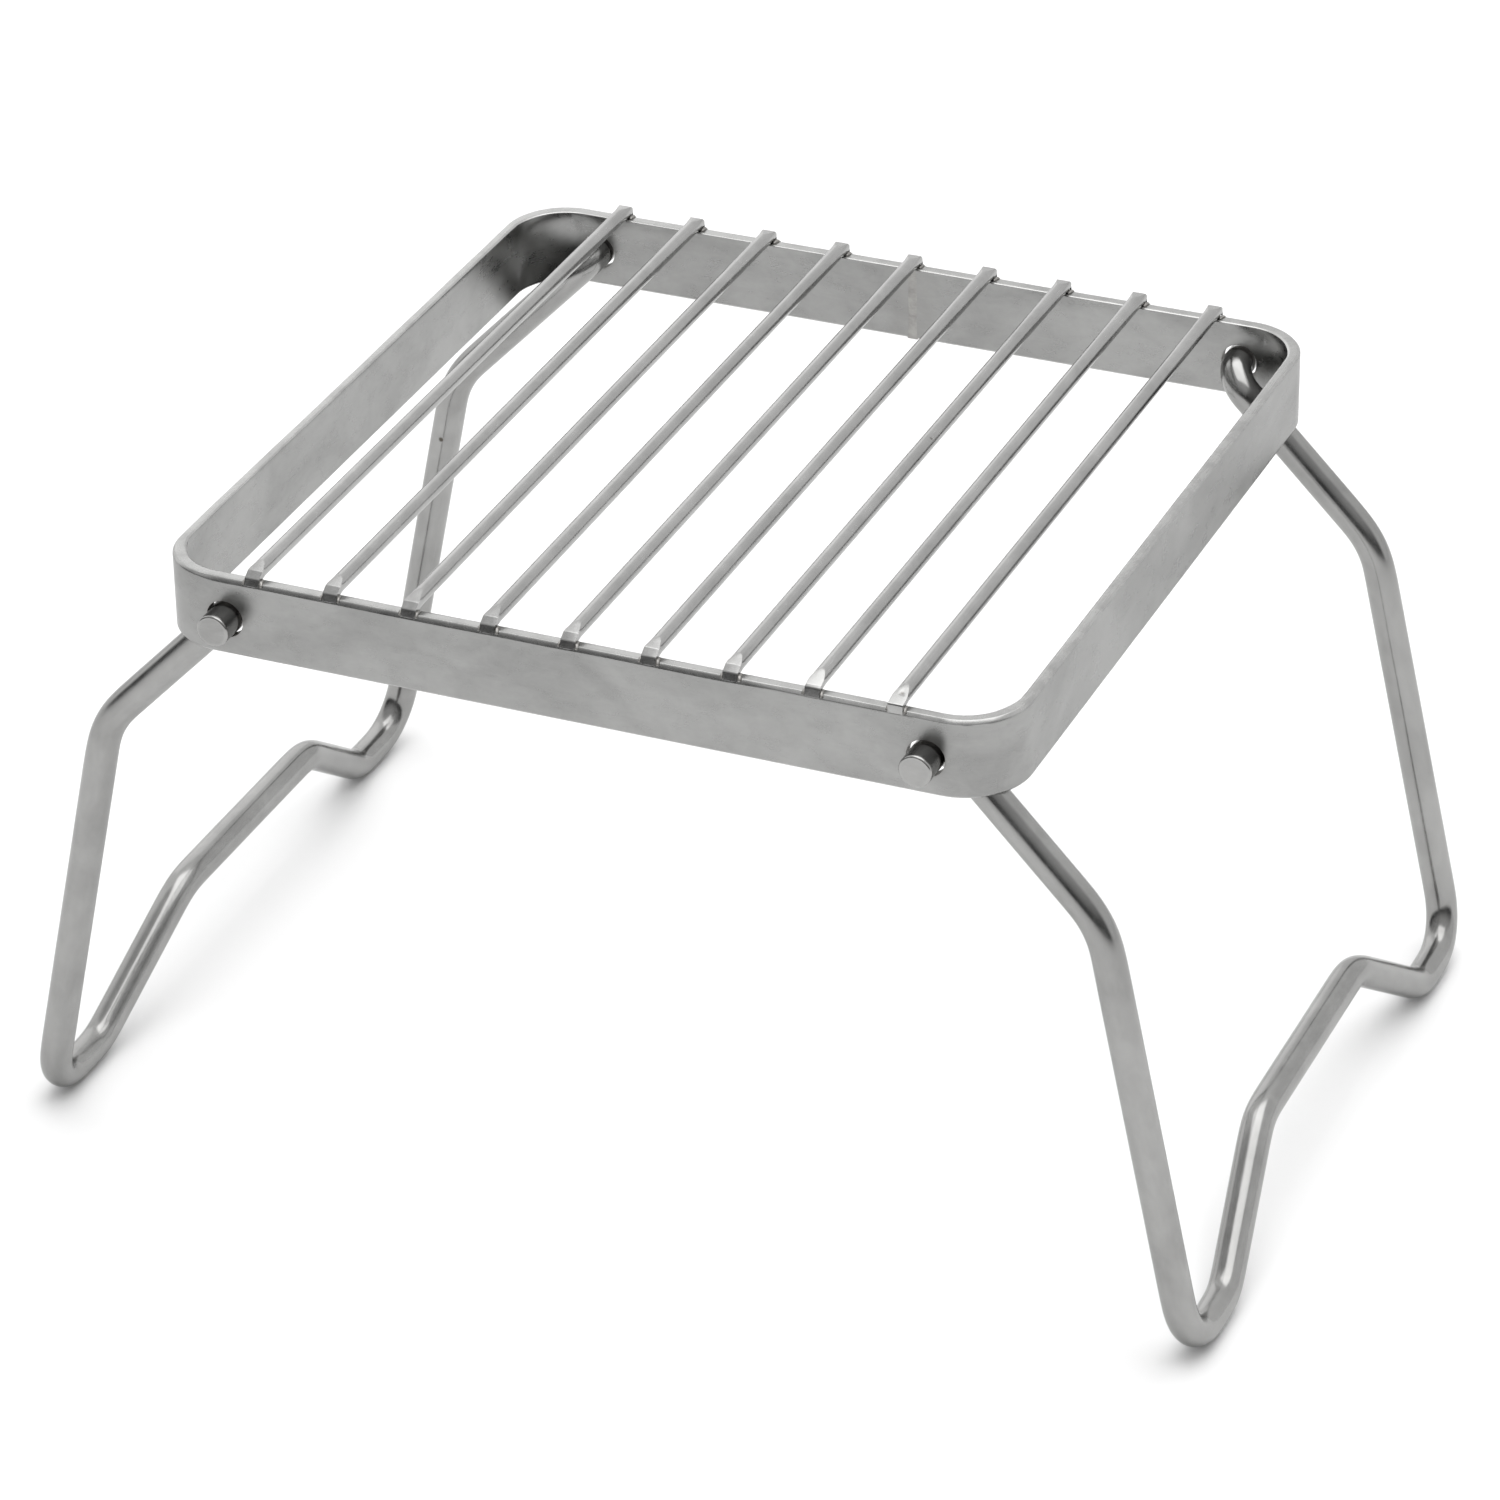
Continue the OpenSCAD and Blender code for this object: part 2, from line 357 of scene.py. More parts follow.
SPREAD = 0.55 * MM               # how far the front and rear walls' top edges are spread inwards
NICK_AT, NICK_DOWN = FRONT + STRAIGHT + 0.5 * MM, 0.30 * MM
NICK_DEEP, NICK_WIDE = 0.16 * MM, 0.55 * MM
NICK_STEP = 0.22 * MM

# (mm over the hole's radius, depth in mm, painted shade) from the face round the rim into the bore
HOLE_RIM = [(1.5, 0.0, 0.0), (0.6, 0.0, 0.03), (0.2, 0.0, 0.10), (0.03, 0.0, 0.2), (0.0, 0.03, 0.3),
            (0.0, 0.12, 0.6)]
# the painted shade at the middle of the bore
BORE_SHADE = 0.8


def strip_place(s, depth, z):
    """The point at s along the outer face from the seam, at a depth under it and a height in the strip."""
    wall = next(wall for wall in reversed(WALLS) if s >= wall.start - 1e-9)
    run = s - wall.start
    if run <= wall.length:
        base, normal = wall.origin + wall.along * run, wall.outward
    else:
        turn = (run - wall.length) / CORNER_R
        centre = wall.origin + wall.along * wall.length - wall.outward * CORNER_R
        normal = wall.outward * math.cos(turn) + wall.along * math.sin(turn)
        base = centre + normal * CORNER_R
    return base - normal * depth + Vector((0, 0, BAND_LOW + z))


def top_bevels(s):
    """(depth, distance from the edge, wear) round the plain bevel and round the outer top one, at s."""
    size = (1 + 0.16 * wobble(s * 90, 0.0, 1)) * MM
    x = FLAT - (s - FRONT)
    ground = rise(x, 9 * MM - HALF, 5 * MM) * fall(x, 42 * MM, 12 * MM)
    turned = rise(x, 34 * MM, 10 * MM) * rise(s, FRONT - 24 * MM, 8 * MM)
    plain, outer = [], []
    for (d, e), steep, flatter, wear in zip(BEVEL, STEEP_BEVEL, FLAT_BEVEL, BEVEL_WEAR):
        plain.append((d * size, e * size, wear))
        d = lerp(lerp(d, steep[0], ground), flatter[0], turned)
        e = lerp(lerp(e, steep[1], ground), flatter[1], turned)
        outer.append((d * size, e * size, wear))
    return plain, outer


def section(s):
    """(depth, z, wear, row) round the strip's section: up the outer face, over, down the inner one, under."""
    plain, outer = top_bevels(s)
    low = [(d * MM, e * MM, LOW_WEAR * wear) for (d, e), wear in zip(BEVEL, BEVEL_WEAR)]
    rows = [lerp(ROW_MARGIN, STRIP_H - ROW_MARGIN, i / FLAT_ROWS) for i in range(FLAT_ROWS + 1)]
    points = [(d, e, wear, None) for d, e, wear in reversed(low)]
    points += [(0.0, z, 0.0, ("out", i)) for i, z in enumerate(rows)]
    points += [(d, STRIP_H - e, wear, None) for d, e, wear in outer]
    points += [(STRIP_T / 2, STRIP_H, TOP_WEAR, None)]
    points += [(STRIP_T - INNER_DEPTH * d, STRIP_H - INNER_DROP * e, wear, None)
               for d, e, wear in reversed(plain)]
    points += [(STRIP_T, z, 0.0, ("in", i)) for i, z in reversed(list(enumerate(rows)))]
    points += [(STRIP_T - d, e, wear, None) for d, e, wear in low]
    points += [(STRIP_T / 2, 0.0, UNDER_WEAR, None)]
    return points


def strip_columns():
    """Where the strip is cut across: evenly over each hole's patch, closer together at bends and the nick."""
    cuts = [hole - PATCH + 2 * PATCH * i / PATCH_CUTS for hole in HOLES for i in range(PATCH_CUTS + 1)]
    first, last = SEAM_W / 2, AROUND - SEAM_W / 2
    others = [first, first + 0.3 * MM, last - 0.3 * MM, last]
    for wall in WALLS:
        steps = max(2, round(wall.length / WALL_STEP))
        others += [wall.start + wall.length * i / steps for i in range(steps + 1)]
        if wall is not WALLS[-1]:
            others += [wall.start + wall.length + ARC * i / BEND_CUTS for i in range(1, BEND_CUTS)]
    others += [NICK_AT + NICK_STEP * i for i in range(-8, 9)]
    for s in sorted(others):
        by_hole = any(abs(s - hole) < PATCH + PATCH_CLEAR for hole in HOLES)
        if first <= s <= last and not by_hole and all(abs(s - cut) > LEAST_STEP for cut in cuts):
            cuts.append(s)
    return sorted(cuts)


def strip_point(s, depth, z):
    """A point of the strip with its unevenness of a few hundredths of a millimetre, the spread top edges of
    its front and rear walls, and the nick at its front left corner."""
    out = 0.035 * MM * wobble(s * 38, z * 30, 2) + 0.02 * MM * wobble(s * 90, z * 90, 3)
    up = 0.05 * MM * wobble(s * 45, 0.0, 4) * smooth(z / STRIP_H)
    spread = rise(abs(strip_place(s, 0.0, z).y), HALF - 14 * MM, 8 * MM)
    spread *= rise(z, STRIP_H - 1.4 * MM, 0.9 * MM) * rise(depth, STRIP_T / 2, 0.8 * MM)
    depth += SPREAD * spread
    if depth < STRIP_T / 2:
        away = ((s - NICK_AT) ** 2 + (STRIP_H - z - NICK_DOWN) ** 2) / NICK_WIDE ** 2
        out -= NICK_DEEP * math.exp(-2.2 * away)
    return strip_place(s, depth - out, z + up)


def seam_stain(s):
    """How dark the weld's heat left the strip beside the seam."""
    away = min(s, AROUND - s)
    halo = 0.09 * max(0.0, 1 - abs(away - 3 * MM) / (2.5 * MM))
    return halo + (0.06 if away < 1.2 * MM else 0.0)


def strip_rings(build, columns):
    """The strip's points, column by column. Inside a hole's patch there are none."""
    rings = []
    for s in columns:
        in_patch = any(abs(s - hole) < PATCH - TINY for hole in HOLES)
        ring = []
        for depth, z, wear, row in section(s):
            if in_patch and row and 0 < row[1] < FLAT_ROWS:
                ring.append(None)
            else:
                ring.append(build.add(strip_point(s, depth, z), (s, depth, z), wear, seam_stain(s)))
        rings.append(ring)
    return rings


def patch_border(rings, first, rows, side):
    """The points of the square round a hole on one face, in turn from its first lower corner."""
    last = first + PATCH_CUTS
    border = [rings[first + i][rows[side, 0]] for i in range(PATCH_CUTS)]
    border += [rings[last][rows[side, i]] for i in range(FLAT_ROWS)]
    border += [rings[last - i][rows[side, FLAT_ROWS]] for i in range(PATCH_CUTS)]
    border += [rings[first][rows[side, FLAT_ROWS - i]] for i in range(FLAT_ROWS)]
    return border


def make_hole(build, hole, outer, inner):
    """A hole's two rims and its bore, between the square borders on the two faces, with painted shade
    darkening into the bore.
    """
    thick = STRIP_T / MM
    profile = HOLE_RIM + [(0.0, thick / 2, BORE_SHADE)]
    profile += [(over, thick - depth, shade) for over, depth, shade in reversed(HOLE_RIM)]
    previous = outer
    for over, depth, shade in profile:
        ring = []
        for m, corner in enumerate(outer):
            angle = math.radians(-135 + 360 * m / len(outer))
            radius = HOLE_R + over * MM
            s, z = hole + radius * math.cos(angle), HOLE_Z + radius * math.sin(angle)
            if over == HOLE_RIM[0][0]:  # the widest ring is eased towards the square
                square_s, _, square_z = build.stock[corner]
                s, z = lerp(s, square_s, 0.25), lerp(z, square_z, 0.25)
            ring.append(build.add(strip_point(s, depth * MM, z), (s, depth * MM, z), shade=shade))
        build.join(previous, ring)
        previous = ring
    build.join(previous, inner)


def make_band():
    build = Build()
    columns = strip_columns()
    rings = strip_rings(build, columns)
    labels = [row for _, _, _, row in section(columns[0])]
    count = len(labels)
    for j in range(len(columns) - 1):
        middle = (columns[j] + columns[j + 1]) / 2
        in_patch = any(abs(middle - hole) < PATCH for hole in HOLES)
        for k in range(count):
            after = (k + 1) % count
            if not (in_patch and labels[k] and labels[after]):
                build.faces.append((rings[j][k], rings[j][after], rings[j + 1][after], rings[j + 1][k]))
    build.faces.append(tuple(rings[0]))
    build.faces.append(tuple(reversed(rings[-1])))

    rows = {row: k for k, row in enumerate(labels) if row}
    for hole in HOLES:
        first = min(range(len(columns)), key=lambda i: abs(columns[i] - (hole - PATCH)))
        outer, inner = (patch_border(rings, first, rows, side) for side in ("out", "in"))
        make_hole(build, hole, outer, inner)
    build.finish("band_formed", "frame", BAND_STEEL, "frame_band")


make_band()


# ---- the hoop's butt weld, dressed almost flush ----

SEAM_STEPS = 44
SEAM_SIDE = 9              # points across each face of the bead
SEAM_SUNK = 0.05 * MM      # how deep the bead's edges go into the strip
RIPPLE_LEN = 0.95 * MM


def make_seam():
    build = Build()
    lo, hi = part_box("band_seam_weld")
    proud = (hi.y - lo.y - STRIP_T) / 2
    rings = []
    for i in range(SEAM_STEPS + 1):
        share = i / SEAM_STEPS
        z = lerp(0.03 * MM, STRIP_H - 0.03 * MM, share)
        fade = lerp(0.4, 1, smooth(min(share, 1 - share) * 14))
        ripple = 0.5 + 0.5 * math.sin(z / RIPPLE_LEN + 1.3 * wobble(z * 300, 0.0, 21))
        wide = SEAM_W / 2 + (0.22 + 0.12 * wobble(z * 420, 1.0, 22)) * MM
        lift = proud * (0.25 + 0.15 * ripple + 0.15 * wobble(z * 700, 2.0, 23)) * fade
        lift = max(0.01 * MM, min(proud, lift))
        ring = []
        for face, sign in ((0.0, -1), (STRIP_T, 1)):
            for k in range(SEAM_SIDE):
                across = -1 + 2 * k / (SEAM_SIDE - 1)
                crown = lift * math.sqrt(1 - across * across) if abs(across) < 1 else -SEAM_SUNK
                x, depth = -sign * wide * across, face + sign * crown
                ring.append(build.add((x, HALF - depth, BAND_LOW + z), (x, depth, z), 0.10 * ripple,
                                      0.10 * abs(across) + 0.03))
        rings.append(ring)
    build.tube(rings, capped=True)
    build.finish("seam_bead", "frame", WELD_STEEL, "band_seam_weld", sharp=50)


make_seam()


# ---- the grate's bars ----
# A bar's end is worked out in mm: distances from the end, and heights over the hoop's top edge.

BAR_TOP = 2.5
UNDER, LID = 34, 12               # steps round a bar's sides and foot, and across its top
LID_EDGE = math.radians(68)       # where the top starts, round from the side
LID_CROWN = 0.03 * MM
BAR_CUTS = [0.25, 0.4, 0.8, 1.1, 1.4, 2.1, 2.5, 2.9, 3.3, 3.9, 4.4, 6.0, 7.5, 9, 13, 18, 24, 31, 39, 48,
            57, 66, 73]
FRONT_FOOT = -0.62                # the front ends reach down over the hoop's ground edge
PITTED_BAR = 9
PIT_AT, PIT_ASIDE, PIT_WIDE, PIT_DEEP = 2.9, 0.15, 0.30, 0.16


def front_outline(index):
    """A front end's outline from the side: up the leaning nose, back up its slope, and along the bar."""
    nose = {8: 0.35, 9: 0.12}.get(index, 1.0) * random.uniform(0.92, 1.06)
    lean = {9: 0.10}.get(index, 0.50)
    low = 0.80 if nose > 0.5 else 1.0
    high = low + 0.89 * nose
    slope_end = 5.2 + random.uniform(-0.5, 0.4)
    return [(0.0, FRONT_FOOT), (lean, low), (lean + 1.37 * nose, high), (slope_end, BAR_TOP)]


def rear_outline():
    """A rear end's outline from the side: nearly upright, then a short steep and a long shallow slope."""
    cut = random.uniform(-0.08, 0.08)
    return [(0.0, 0.0), (0.14, 1.55 + cut), (0.62, 2.08 + cut), (3.6 + 2 * cut, BAR_TOP)]


def height_at(outline, d):
    if d <= outline[0][0]:
        return outline[0][1]
    for (before, low), (after, high) in zip(outline, outline[1:]):
        if d <= after:
            return lerp(low, high, (d - before) / (after - before))
    return outline[-1][1]


def soft_height(outline, d):
    """The outline's height with its corners rounded over about a tenth of a millimetre."""
    near = [height_at(outline, d + k * 0.03) for k in range(-2, 3)]
    return sum(near) / len(near) if d > 0.06 else height_at(outline, d)


def bar_stations(outline):
    """Distances from a bar's end, close together at the outline's corners."""
    found = [0.0, 0.03] + BAR_CUTS
    for corner, _ in outline[1:]:
        found += [corner + k * 0.06 for k in range(-2, 3)]
    kept = []
    for d in sorted(found):
        if d >= 0 and (not kept or d - kept[-1] > 0.025):
            kept.append(d)
    return kept


def bar_ring(half_w, foot, top, lid, square):
    """One section, anticlockwise from the left edge of its top: (x, z, 1 where it is on the pressed top)."""
    centre, tall = (top + foot) / 2, (top - foot) / 2
    power = 2 / square

    def place(angle):
        ca, sa = math.cos(angle), math.sin(angle)
        return (half_w * math.copysign(abs(ca) ** power, ca),
                centre + tall * math.copysign(abs(sa) ** power, sa))

    level = max(-0.98, min(1.0, (lid - centre) / tall))
    edge = min(LID_EDGE, math.asin(math.copysign(abs(level) ** (square / 2), level)))
    crown = min(LID_CROWN, (top - lid) / 2)
    points = [(*place(lerp(math.pi - edge, 2 * math.pi + edge, k / UNDER)), 0.0) for k in range(UNDER + 1)]
    for k in range(1, LID):
        px, pz = place(lerp(edge, math.pi - edge, k / LID))
        pressed = pz > lid
        if pressed:
            across = px / (abs(place(edge)[0]) + 1e-9)
            pz = min(pz, lid + crown * (1 - across * across))
        points.append((px, pz, 1.0 if pressed else 0.0))
    return points


def make_bar(index, node):
    build = Build()
    lo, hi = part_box(node)
    x0, axis = (lo.x + hi.x) / 2, hi.z - BAR_R
    bow = random.uniform(-0.05, 0.05) * MM
    lean = random.uniform(-0.06, 0.06) * MM
    front, rear = front_outline(index), rear_outline()
    stations = [(-HALF + d * MM, d, False) for d in bar_stations(front)]
    stations += [(0.0, HALF / MM, False)]
    stations += [(HALF - d * MM, d, True) for d in reversed(bar_stations(rear))]
    rings = []
    for y, d, at_rear in stations:
        pressed = fall(d, 3.8, 3.2)
        over_hoop = fall(d, 2.2, 0.3)
        square = lerp(2.0, 3.0 if at_rear else 4.5, pressed ** 1.4)
        half_w = BAR_R * lerp(1.0, 0.985, pressed)
        foot = lerp(axis - BAR_R, BAND_TOP - 0.10 * MM, over_hoop)
        if not at_rear:
            foot = lerp(foot, BAND_TOP - 0.64 * MM, fall(d, 0.62, 0.2))
        lid = max(BAND_TOP + soft_height(rear if at_rear else front, d) * MM, foot + 0.02 * MM)
        x_mid = x0 + bow * (1 - (y / HALF) ** 2) + lean * y / HALF
        ring = []
        for px, pz, on_lid in bar_ring(half_w, foot, axis + BAR_R, lid, square):
            ragged = 0.05 * MM * wobble(pz / MM * 1.3, index * 3.1 + at_rear, 31) * max(0.0, 1 - d / 0.9)
            # painted shade: low on the bars' ends, where they sit on the hoop
            shade = 0.22 * over_hoop * fall(pz, BAND_TOP + 0.5 * MM, 1.0 * MM) * (1 - on_lid)
            if index == PITTED_BAR and not at_rear and on_lid:
                pit = math.exp(-((d - PIT_AT) ** 2 + (px / MM - PIT_ASIDE) ** 2) / PIT_WIDE ** 2)
                pz -= PIT_DEEP * MM * pit
                shade = max(shade, 0.9 * pit)
            ring.append(build.add((x_mid + px + ragged, y, pz), (y + index * 0.31, px, pz - axis),
                                  0.12 * pressed * on_lid, shade))
        rings.append(ring)
    build.tube(rings, capped=True)
    build.finish(f"bar_{index}_pressed", "frame", BAR_STEEL, node, sharp=34)


for bar_index, bar_node in enumerate(BAR_NODES, start=1):
    make_bar(bar_index, bar_node)


# ---- weld metal squeezed out at the bars' feet ----

BEAD_SIDES = 12
BEAD_STEPS = 8


def bead(build, path, radii, seed):
    """A lumpy closed bead along a path."""
    rings = []
    for i, (place, radius) in enumerate(zip(path, radii)):
        ahead = (path[min(i + 1, len(path) - 1)] - path[max(i - 1, 0)]).normalized()
        side = ahead.cross(Vector((0, 0, 1))).normalized()
        up = side.cross(ahead)
        ring = []
        for k in range(BEAD_SIDES):
            angle = 2 * math.pi * k / BEAD_SIDES
            lump = 1 + 0.28 * wobble(i * 0.55 + seed, k * 0.7, seed)
            point = place + (side * math.cos(angle) + up * math.sin(angle) * 0.85) * radius * lump
            ring.append(build.add(point, point, 0.2 * max(0.0, math.sin(angle)), 0.25 + 0.05 * (k % 3)))
        rings.append(ring)
    build.tube(rings, capped=False)
    for ring, end, before, radius in ((rings[0], path[0], path[1], radii[0]),
                                      (rings[-1], path[-1], path[-2], radii[-1])):
        tip = build.add(end + (end - before).normalized() * radius * 0.5, end, 0.1, 0.3)
        for k in range(BEAD_SIDES):
            build.faces.append((ring[k], ring[(k + 1) % BEAD_SIDES], tip))


def make_welds(name, node, rear):
    """A bead on each side of each bar's end. The ones on the right are the larger."""
    build = Build()
    out = 1 if rear else -1
    for index, bar in enumerate(BAR_NODES):
        lo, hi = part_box(bar)
        x0 = (lo.x + hi.x) / 2
        for side in (-1, 1):
            size = random.uniform(0.75, 1.1) * (1.0 if side > 0 else 0.72)
            curl = random.uniform(0.15, 0.5) * MM * (1 if side > 0 else 0.4)
            path, radii = [], []
            for k in range(BEAD_STEPS + 1):
                share = k / BEAD_STEPS
                x = x0 + side * (1.36 * MM + 0.12 * MM * size + curl * rise(share, 0.45, 0.55))
                y = out * lerp(HALF - STRIP_T + 0.15 * MM, HALF - 0.02 * MM, share)
                z = BAND_TOP + 0.10 * MM - 0.42 * MM * rise(share, 0.66, 0.34)
                path.append(Vector((x, y, z)))
                radii.append(size * MM * (0.16 + 0.26 * math.sin(math.pi * (0.12 + 0.72 * share))))
            bead(build, path, radii, 40 + index * 2.7 + side + (50 if rear else 0))
    build.finish(name, "frame", WELD_STEEL, node, sharp=60)


make_welds("weld_flash_front", "bar_welds_front", False)
make_welds("weld_flash_rear", "bar_welds_rear", True)


# ---- the legs: one wire each, bent ten times ----

LINE_STEP, BEND_STEP = 0.8 * MM, 0.65 * MM
WIRE_SIDES = 48
BEND_EASE = 1.5 * MM         # over this the wire goes from round to flattened at a bend
HOLD_ENDS = 30 * MM          # the wire's ends that relax leaves alone
EASING = 2.1 * MM
SQUASH = 0.028               # how much a bend flattens the wire, against its radius
# (distance from the end, radius) in mm over the pin's rounded rim, then the radii across its end face
PIN_RIM = [(0.0, 2.72), (0.10, 2.86), (0.24, 2.965), (0.40, 3.0)]
PIN_FACE = [2.62, 2.3, 1.5, 0.7]

Station = namedtuple("Station", "point ahead toward bend at share", defaults=[1.0])


def half_leg():
    """Corners of half the right leg's wire, from the rear pin's end to the middle of the rail."""
    arm_y = HALF - STRIP_T - ARM_GAP
    foot_y = arm_y + LEG_SPLAY / 2
    foot_end_y = foot_y - FOOT_LEN
    knee_x, knee_z = PIVOT_X + ARM_LEN * math.cos(ARM_SLOPE), PIVOT_Z - ARM_LEN * math.sin(ARM_SLOPE)
    foot_x = PIVOT_X + FOOT_OUT
    shin = Vector((knee_x - foot_x, 0, knee_z - FOOT_Z))
    knee_y = lerp(arm_y, foot_y, ARM_LEN / (ARM_LEN + shin.length))
    return [
        Vector((PIVOT_X, HALF + PIN_OUT, PIVOT_Z)),
        Vector((PIVOT_X, arm_y, PIVOT_Z)),
        Vector((knee_x, knee_y, knee_z)),
        Vector((foot_x, foot_y, FOOT_Z)),
        Vector((foot_x, foot_end_y, FOOT_Z)),
        Vector((foot_x, foot_end_y - SLOPE_LEN, FOOT_Z)) + shin.normalized() * RAIL_RISE,
    ]


def line_stations(start, end, ahead, at):
    length = (end - start).length
    if length < TINY:
        return []
    count = max(1, round(length / LINE_STEP))
    return [Station(start + ahead * length * k / count, ahead, None, 0.0, at + length * k / count)
            for k in range(count)]


def bend_stations(start, ahead, inward, turn, radius, at):
    """Stations round a bend, with the direction towards its inside and how far into the bend each is."""
    count = max(6, round(turn * radius / BEND_STEP))
    found = []
    for k in range(count):
        t = turn * k / count
        point = start + ahead * radius * math.sin(t) + inward * radius * (1 - math.cos(t))
        found.append(Station(point, ahead * math.cos(t) + inward * math.sin(t),
                             inward * math.cos(t) - ahead * math.sin(t),
                             smooth(min(t, turn - t) * radius / BEND_EASE), at + t * radius))
    return found


def wire_path(corners, radii):
    """Stations along the middle of the wire, its corners bent to their radii."""
    path, here, at = [], corners[0], 0.0
    for i in range(1, len(corners) - 1):
        ahead = (corners[i] - corners[i - 1]).normalized()
        following = (corners[i + 1] - corners[i]).normalized()
        turn = ahead.angle(following)
        reach = radii[i] * math.tan(turn / 2)
        start = corners[i] - ahead * reach
        path += line_stations(here, start, ahead, at)
        at += (start - here).length
        if turn > 1e-4:
            inward = (following - ahead * ahead.dot(following)).normalized()
            path += bend_stations(start, ahead, inward, turn, radii[i], at)
            at += turn * radii[i]
        here = corners[i] + following * reach
    ahead = (corners[-1] - here).normalized()
    path += line_stations(here, corners[-1], ahead, at)
    at += (corners[-1] - here).length
    path.append(Station(corners[-1], ahead, None, 0.0, at))
    return path


def relax(path):
    """The path with its bends eased, as a bender leaves them: each point but those near the two ends moves to
    a weighted mean of its neighbours."""
    total = path[-1].at
    eased = []
    for here in path:
        hold = rise(min(here.at, total - here.at), HOLD_ENDS, 12 * MM)
        if hold <= 0:
            eased.append(here)
            continue
        point, ahead, inward, weights = Vector(), Vector(), Vector(), 0.0
        for other in path:
            if abs(other.at - here.at) < 3 * EASING:
                weight = math.exp(-((other.at - here.at) / EASING) ** 2 / 2)
                point += other.point * weight
                ahead += other.ahead * weight
                if other.toward is not None:
                    inward += other.toward * weight
                weights += weight
        eased.append(Station(here.point.lerp(point / weights, hold),
                             here.ahead.lerp(ahead / weights, hold).normalized(),
                             inward.normalized() if inward.length > TINY else None,
                             lerp(here.bend, min(1.0, inward.length / weights), hold), here.at))
    return eased


def rimmed(path):
    """The path with stations for the pins' rounded rims put at its two ends."""
    first, last = path[0], path[-1]
    rim = [(d * MM, radius * MM / WIRE_R) for d, radius in PIN_RIM]
    start = [Station(first.point + first.ahead * d, first.ahead, None, 0.0, d, share) for d, share in rim]
    middle = [here for here in path if LINE_STEP < here.at < last.at - LINE_STEP]
    end = [Station(last.point - last.ahead * d, last.ahead, None, 0.0, last.at - d, share)
           for d, share in reversed(rim)]
    return start + middle + end


def wire_ring(build, here, side, up, total, seed):
    """One ring of the wire's points, flattened and with painted shade on the inside of a bend, and with
    painted shade where the wire passes through the hoop.
    """
    ring = []
    # painted shade round the pin where it passes through the hoop
    painted_hoop_shade = 0.12 * fall(abs(min(here.at, total - here.at) - 6 * MM), 4 * MM, 4 * MM)
    for k in range(WIRE_SIDES):
        angle = 2 * math.pi * k / WIRE_SIDES
        ca, sa = math.cos(angle), math.sin(angle)
        offset = (side * ca + up * sa) * WIRE_R * here.share
        shade = painted_hoop_shade
        if here.toward is not None:
            inner = offset.dot(here.toward)
            offset -= here.toward * inner * SQUASH * here.bend
            shade += 0.05 * here.bend * max(0.0, inner / WIRE_R)
        dent = 0.014 * MM * wobble(here.at * 55, sa * 1.2 + ca * 0.9, seed)
        offset *= 1 + dent / WIRE_R
        stock = (here.at + seed * 0.1, WIRE_R * ca, WIRE_R * sa)
        ring.append(build.add(here.point + offset, stock, 0.25 if here.share < 1 else 0.0, shade))
    return ring


def pin_face(build, ring, centre, outward, at, seed):
    """The slightly dished face at a pin's end, inside its rim."""
    edge = PIN_RIM[0][1]
    previous = ring
    for radius in PIN_FACE:
        inner = []
        for k, outer in enumerate(ring):
            point = centre + (Vector(build.points[outer]) - centre) * (radius / edge)
            dish = (0.03 * wobble(k * 0.12, radius, seed + 5) + 0.02) * (1 - radius / edge)
            _, across, up = (value * radius * MM / WIRE_R for value in build.stock[outer])
            inner.append(build.add(point - outward * dish * MM, (across, at + up, up + seed),
                                   0.3 if radius > 2.5 else 0.05))
        build.join(previous, inner)
        previous = inner
    build.faces.append(tuple(previous))


def make_leg(body, sign, seed):
    """A leg from its rear pin to its front one. sign is -1 for the left leg, the right one's mirror image."""
    build = Build()
    half = [Vector((sign * p.x, p.y, p.z)) for p in half_leg()]
    corners = half + [Vector((p.x, -p.y, p.z)) for p in reversed(half)]
    path = relax(wire_path(corners, BEND_RADII + BEND_RADII[::-1]))
    first, last = path[0], path[-1]
    side = first.ahead.cross(Vector((0, 0, 1))).normalized()
    before = first.ahead
    rings = []
    for here in rimmed(path):
        side = before.rotation_difference(here.ahead) @ side
        side = (side - here.ahead * side.dot(here.ahead)).normalized()
        before = here.ahead
        rings.append(wire_ring(build, here, side, here.ahead.cross(side), last.at, seed))
    build.tube(rings, capped=False)
    pin_face(build, rings[0], first.point, -first.ahead, 0.0, seed)
    pin_face(build, rings[-1], last.point, last.ahead, last.at, seed)
    build.finish(body + "_wire", body, LEG_STEEL, body, sharp=40)


make_leg("right_leg", 1, 70)
make_leg("left_leg", -1, 60)


# ---- floor ----

FLOOR_HALF, FLOOR_CUTS = 6.0, 24


